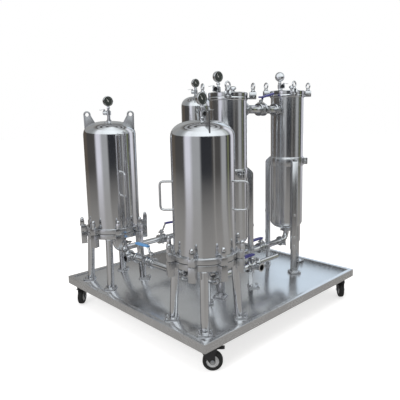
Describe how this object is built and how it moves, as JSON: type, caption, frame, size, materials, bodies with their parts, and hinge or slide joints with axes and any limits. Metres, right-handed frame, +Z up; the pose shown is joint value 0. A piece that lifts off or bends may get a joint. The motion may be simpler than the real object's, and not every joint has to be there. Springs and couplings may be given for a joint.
{
  "type": "sanitary filtration skid",
  "caption": "Wheeled hygienic filtration skid: domed cartridge housings and bag filters with legs, clamp bolts, valves and clamped pipework on a tray deck with swivel casters.",
  "frame": {"origin": "on the floor under the centre of the deck", "axes": "+Z up, +X along the long side of the deck, +Y across it"},
  "size_m": [1.4132, 1.3673, 1.5164],
  "materials": {
    "polished_steel": "mirror polished",
    "satin_steel": "satin",
    "zinc": "zinc plated",
    "caster_black": "semi gloss",
    "tyre": "matt",
    "wheel_disc": "matt",
    "gasket": "matt",
    "lever_blue": "gloss",
    "lever_purple": "gloss"
  },
  "bodies": {
    "skid": {"bag_collars": "satin_steel", "bag_flanges": "satin_steel", "bag_leg_posts": "satin_steel", "bag_legs": "satin_steel", "bag_lids": "polished_steel", "bag_shells": "polished_steel", "base_flanges": "satin_steel", "bell_flanges": "satin_steel", "cartridge_domes": "polished_steel", "cartridge_shells": "polished_steel", "caster_plates": "zinc", "clamp_blocks": "satin_steel", "clamp_bolts": "satin_steel", "corner_plates": "satin_steel", "deck_bearers": "satin_steel", "deck_floor": "satin_steel", "deck_rails_cross": "satin_steel", "deck_rails_long": "satin_steel", "eye_blocks": "satin_steel", "eye_bolts": "satin_steel", "foot_plates": "satin_steel", "gaskets": "gasket", "gauge_cases": "polished_steel", "gauge_stems": "polished_steel", "housing_legs": "satin_steel", "lift_handles": "polished_steel", "lifting_lugs": "satin_steel", "pipe_clamps": "polished_steel", "pipe_elbows": "polished_steel", "pipe_spools": "polished_steel", "pipe_tees": "polished_steel", "valve_bodies": "polished_steel"},
    "front_swivel": {"front_caster_fork": "caster_black"},
    "front_wheel": {"front_tyre": "tyre", "front_hub": "wheel_disc"},
    "front_pedal": {"front_brake_pedal": "caster_black"},
    "right_swivel": {"right_caster_fork": "caster_black"},
    "right_wheel": {"right_tyre": "tyre", "right_hub": "wheel_disc"},
    "right_pedal": {"right_brake_pedal": "caster_black"},
    "left_swivel": {"left_caster_fork": "caster_black"},
    "left_wheel": {"left_tyre": "tyre", "left_hub": "wheel_disc"},
    "left_pedal": {"left_brake_pedal": "caster_black"},
    "back_swivel": {"back_caster_fork": "caster_black"},
    "back_wheel": {"back_tyre": "tyre", "back_hub": "wheel_disc"},
    "back_pedal": {"back_brake_pedal": "caster_black"},
    "run_valve": {"run_valve_handle": "lever_purple"},
    "manifold_valve": {"manifold_valve_handle": "lever_blue"},
    "front_valve": {"front_valve_handle": "lever_purple"},
    "bag_valve": {"bag_valve_handle": "lever_purple"},
    "link_valve": {"link_valve_handle": "lever_purple"},
    "left_vent": {"left_vent_lever": "satin_steel"},
    "front_vent": {"front_vent_lever": "satin_steel"},
    "rear_vent": {"rear_vent_lever": "satin_steel"},
    "middle_vent": {"middle_vent_lever": "satin_steel"},
    "right_vent": {"right_vent_lever": "satin_steel"}
  },
  "joints": [
    {"name": "front_caster_swivel", "type": "hinge", "parent": "skid", "child": "front_swivel", "pos_m": [-0.63, -0.608, 0.112], "axis": [0, 0, 1], "continuous": true},
    {"name": "front_wheel_spin", "type": "hinge", "parent": "front_swivel", "child": "front_wheel", "pos_m": [-0.60777, -0.63102, 0.05], "axis": [-0.7193, -0.6947, 0], "continuous": true},
    {"name": "front_brake_press", "type": "hinge", "parent": "front_swivel", "child": "front_pedal", "pos_m": [-0.59805, -0.64109, 0.112], "axis": [-0.7193, -0.6947, 0], "range_deg": [-10, 0]},
    {"name": "right_caster_swivel", "type": "hinge", "parent": "skid", "child": "right_swivel", "pos_m": [0.63, -0.608, 0.112], "axis": [0, 0, 1], "continuous": true},
    {"name": "right_wheel_spin", "type": "hinge", "parent": "right_swivel", "child": "right_wheel", "pos_m": [0.60698, -0.63023, 0.05], "axis": [-0.6947, 0.7193, 0], "continuous": true},
    {"name": "right_brake_press", "type": "hinge", "parent": "right_swivel", "child": "right_pedal", "pos_m": [0.59691, -0.63995, 0.112], "axis": [-0.6947, 0.7193, 0], "range_deg": [-10, 0]},
    {"name": "left_caster_swivel", "type": "hinge", "parent": "skid", "child": "left_swivel", "pos_m": [-0.63, 0.608, 0.112], "axis": [0, 0, 1], "continuous": true},
    {"name": "left_wheel_spin", "type": "hinge", "parent": "left_swivel", "child": "left_wheel", "pos_m": [-0.65302, 0.58577, 0.05], "axis": [-0.6947, 0.7193, 0], "continuous": true},
    {"name": "left_brake_press", "type": "hinge", "parent": "left_swivel", "child": "left_pedal", "pos_m": [-0.66309, 0.57605, 0.112], "axis": [-0.6947, 0.7193, 0], "range_deg": [-10, 0]},
    {"name": "back_caster_swivel", "type": "hinge", "parent": "skid", "child": "back_swivel", "pos_m": [0.63, 0.608, 0.112], "axis": [0, 0, 1], "continuous": true},
    {"name": "back_wheel_spin", "type": "hinge", "parent": "back_swivel", "child": "back_wheel", "pos_m": [0.65302, 0.63023, 0.05], "axis": [0.6947, -0.7193, 0], "continuous": true},
    {"name": "back_brake_press", "type": "hinge", "parent": "back_swivel", "child": "back_pedal", "pos_m": [0.66309, 0.63995, 0.112], "axis": [0.6947, -0.7193, 0], "range_deg": [-10, 0]},
    {"name": "run_valve_turn", "type": "hinge", "parent": "skid", "child": "run_valve", "pos_m": [-0.118, 0.4, 0.37], "axis": [0, 0, 1], "range_deg": [-90, 0]},
    {"name": "manifold_valve_turn", "type": "hinge", "parent": "skid", "child": "manifold_valve", "pos_m": [-0.49, 0.01, 0.37], "axis": [0, 0, 1], "range_deg": [0, 90]},
    {"name": "front_valve_turn", "type": "hinge", "parent": "skid", "child": "front_valve", "pos_m": [-0.119, -0.463, 0.37], "axis": [0, 0, 1], "range_deg": [0, 90]},
    {"name": "bag_valve_turn", "type": "hinge", "parent": "skid", "child": "bag_valve", "pos_m": [0.19, -0.272, 0.37], "axis": [0, 0, 1], "range_deg": [0, 90]},
    {"name": "link_valve_turn", "type": "hinge", "parent": "skid", "child": "link_valve", "pos_m": [0.19, -0.272, 1.268], "axis": [0, 0, 1], "range_deg": [-90, 0]},
    {"name": "left_vent_turn", "type": "hinge", "parent": "skid", "child": "left_vent", "pos_m": [-0.50806, 0.4187, 1.275], "axis": [0, 0, 1], "range_deg": [0, 90]},
    {"name": "front_vent_turn", "type": "hinge", "parent": "skid", "child": "front_vent", "pos_m": [-0.47194, -0.4817, 1.253], "axis": [0, 0, 1], "range_deg": [0, 90]},
    {"name": "rear_vent_turn", "type": "hinge", "parent": "skid", "child": "rear_vent", "pos_m": [0.22694, 0.4187, 1.43], "axis": [0, 0, 1], "range_deg": [0, 90]},
    {"name": "middle_vent_turn", "type": "hinge", "parent": "skid", "child": "middle_vent", "pos_m": [-0.16427, -0.21373, 1.398], "axis": [0, 0, 1], "range_deg": [0, 90]},
    {"name": "right_vent_turn", "type": "hinge", "parent": "skid", "child": "right_vent", "pos_m": [0.44833, -0.25474, 1.44], "axis": [0, 0, 1], "range_deg": [0, 90]}
  ]
}
